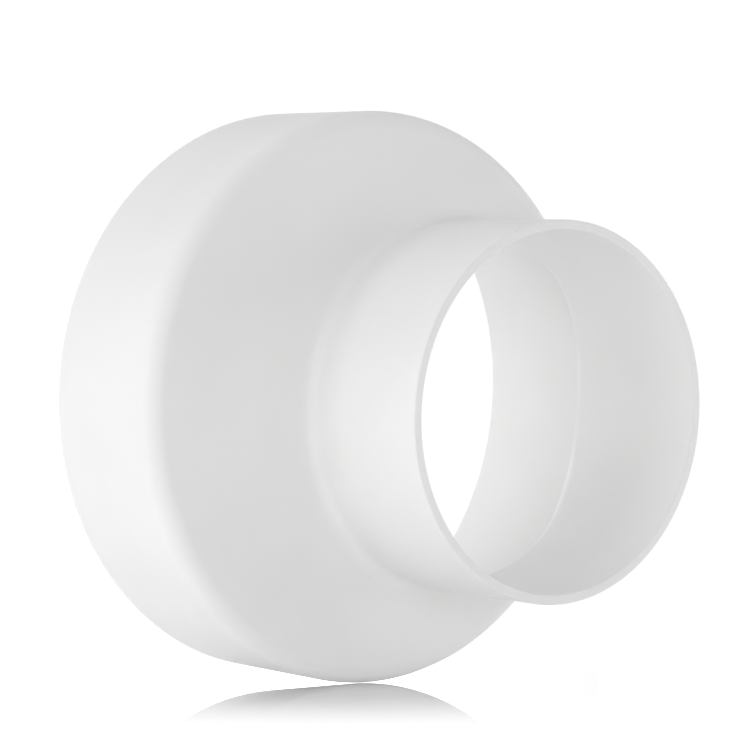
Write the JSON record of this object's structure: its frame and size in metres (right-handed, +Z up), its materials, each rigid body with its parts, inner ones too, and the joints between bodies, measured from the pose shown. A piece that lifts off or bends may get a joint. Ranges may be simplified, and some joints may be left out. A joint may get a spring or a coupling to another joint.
{
  "type": "eccentric duct reducer",
  "caption": "Round duct reducer: a wide collar and a narrower spigot set off to one side, joined by a flat step, open from end to end.",
  "frame": {"origin": "on the large end's axis, in the plane of the large end's mouth", "axes": "+X along the flow, from the large end to the small end; +Y is the way the small end is set off; +Z is up with the fitting on its side"},
  "size_m": [0.0815, 0.1496, 0.1496],
  "materials": {
    "white_plastic": "white moulded plastic, satin"
  },
  "bodies": {
    "root": {"large_collar": "white_plastic", "offset_step": "white_plastic", "small_spigot": "white_plastic"}
  },
  "joints": []
}
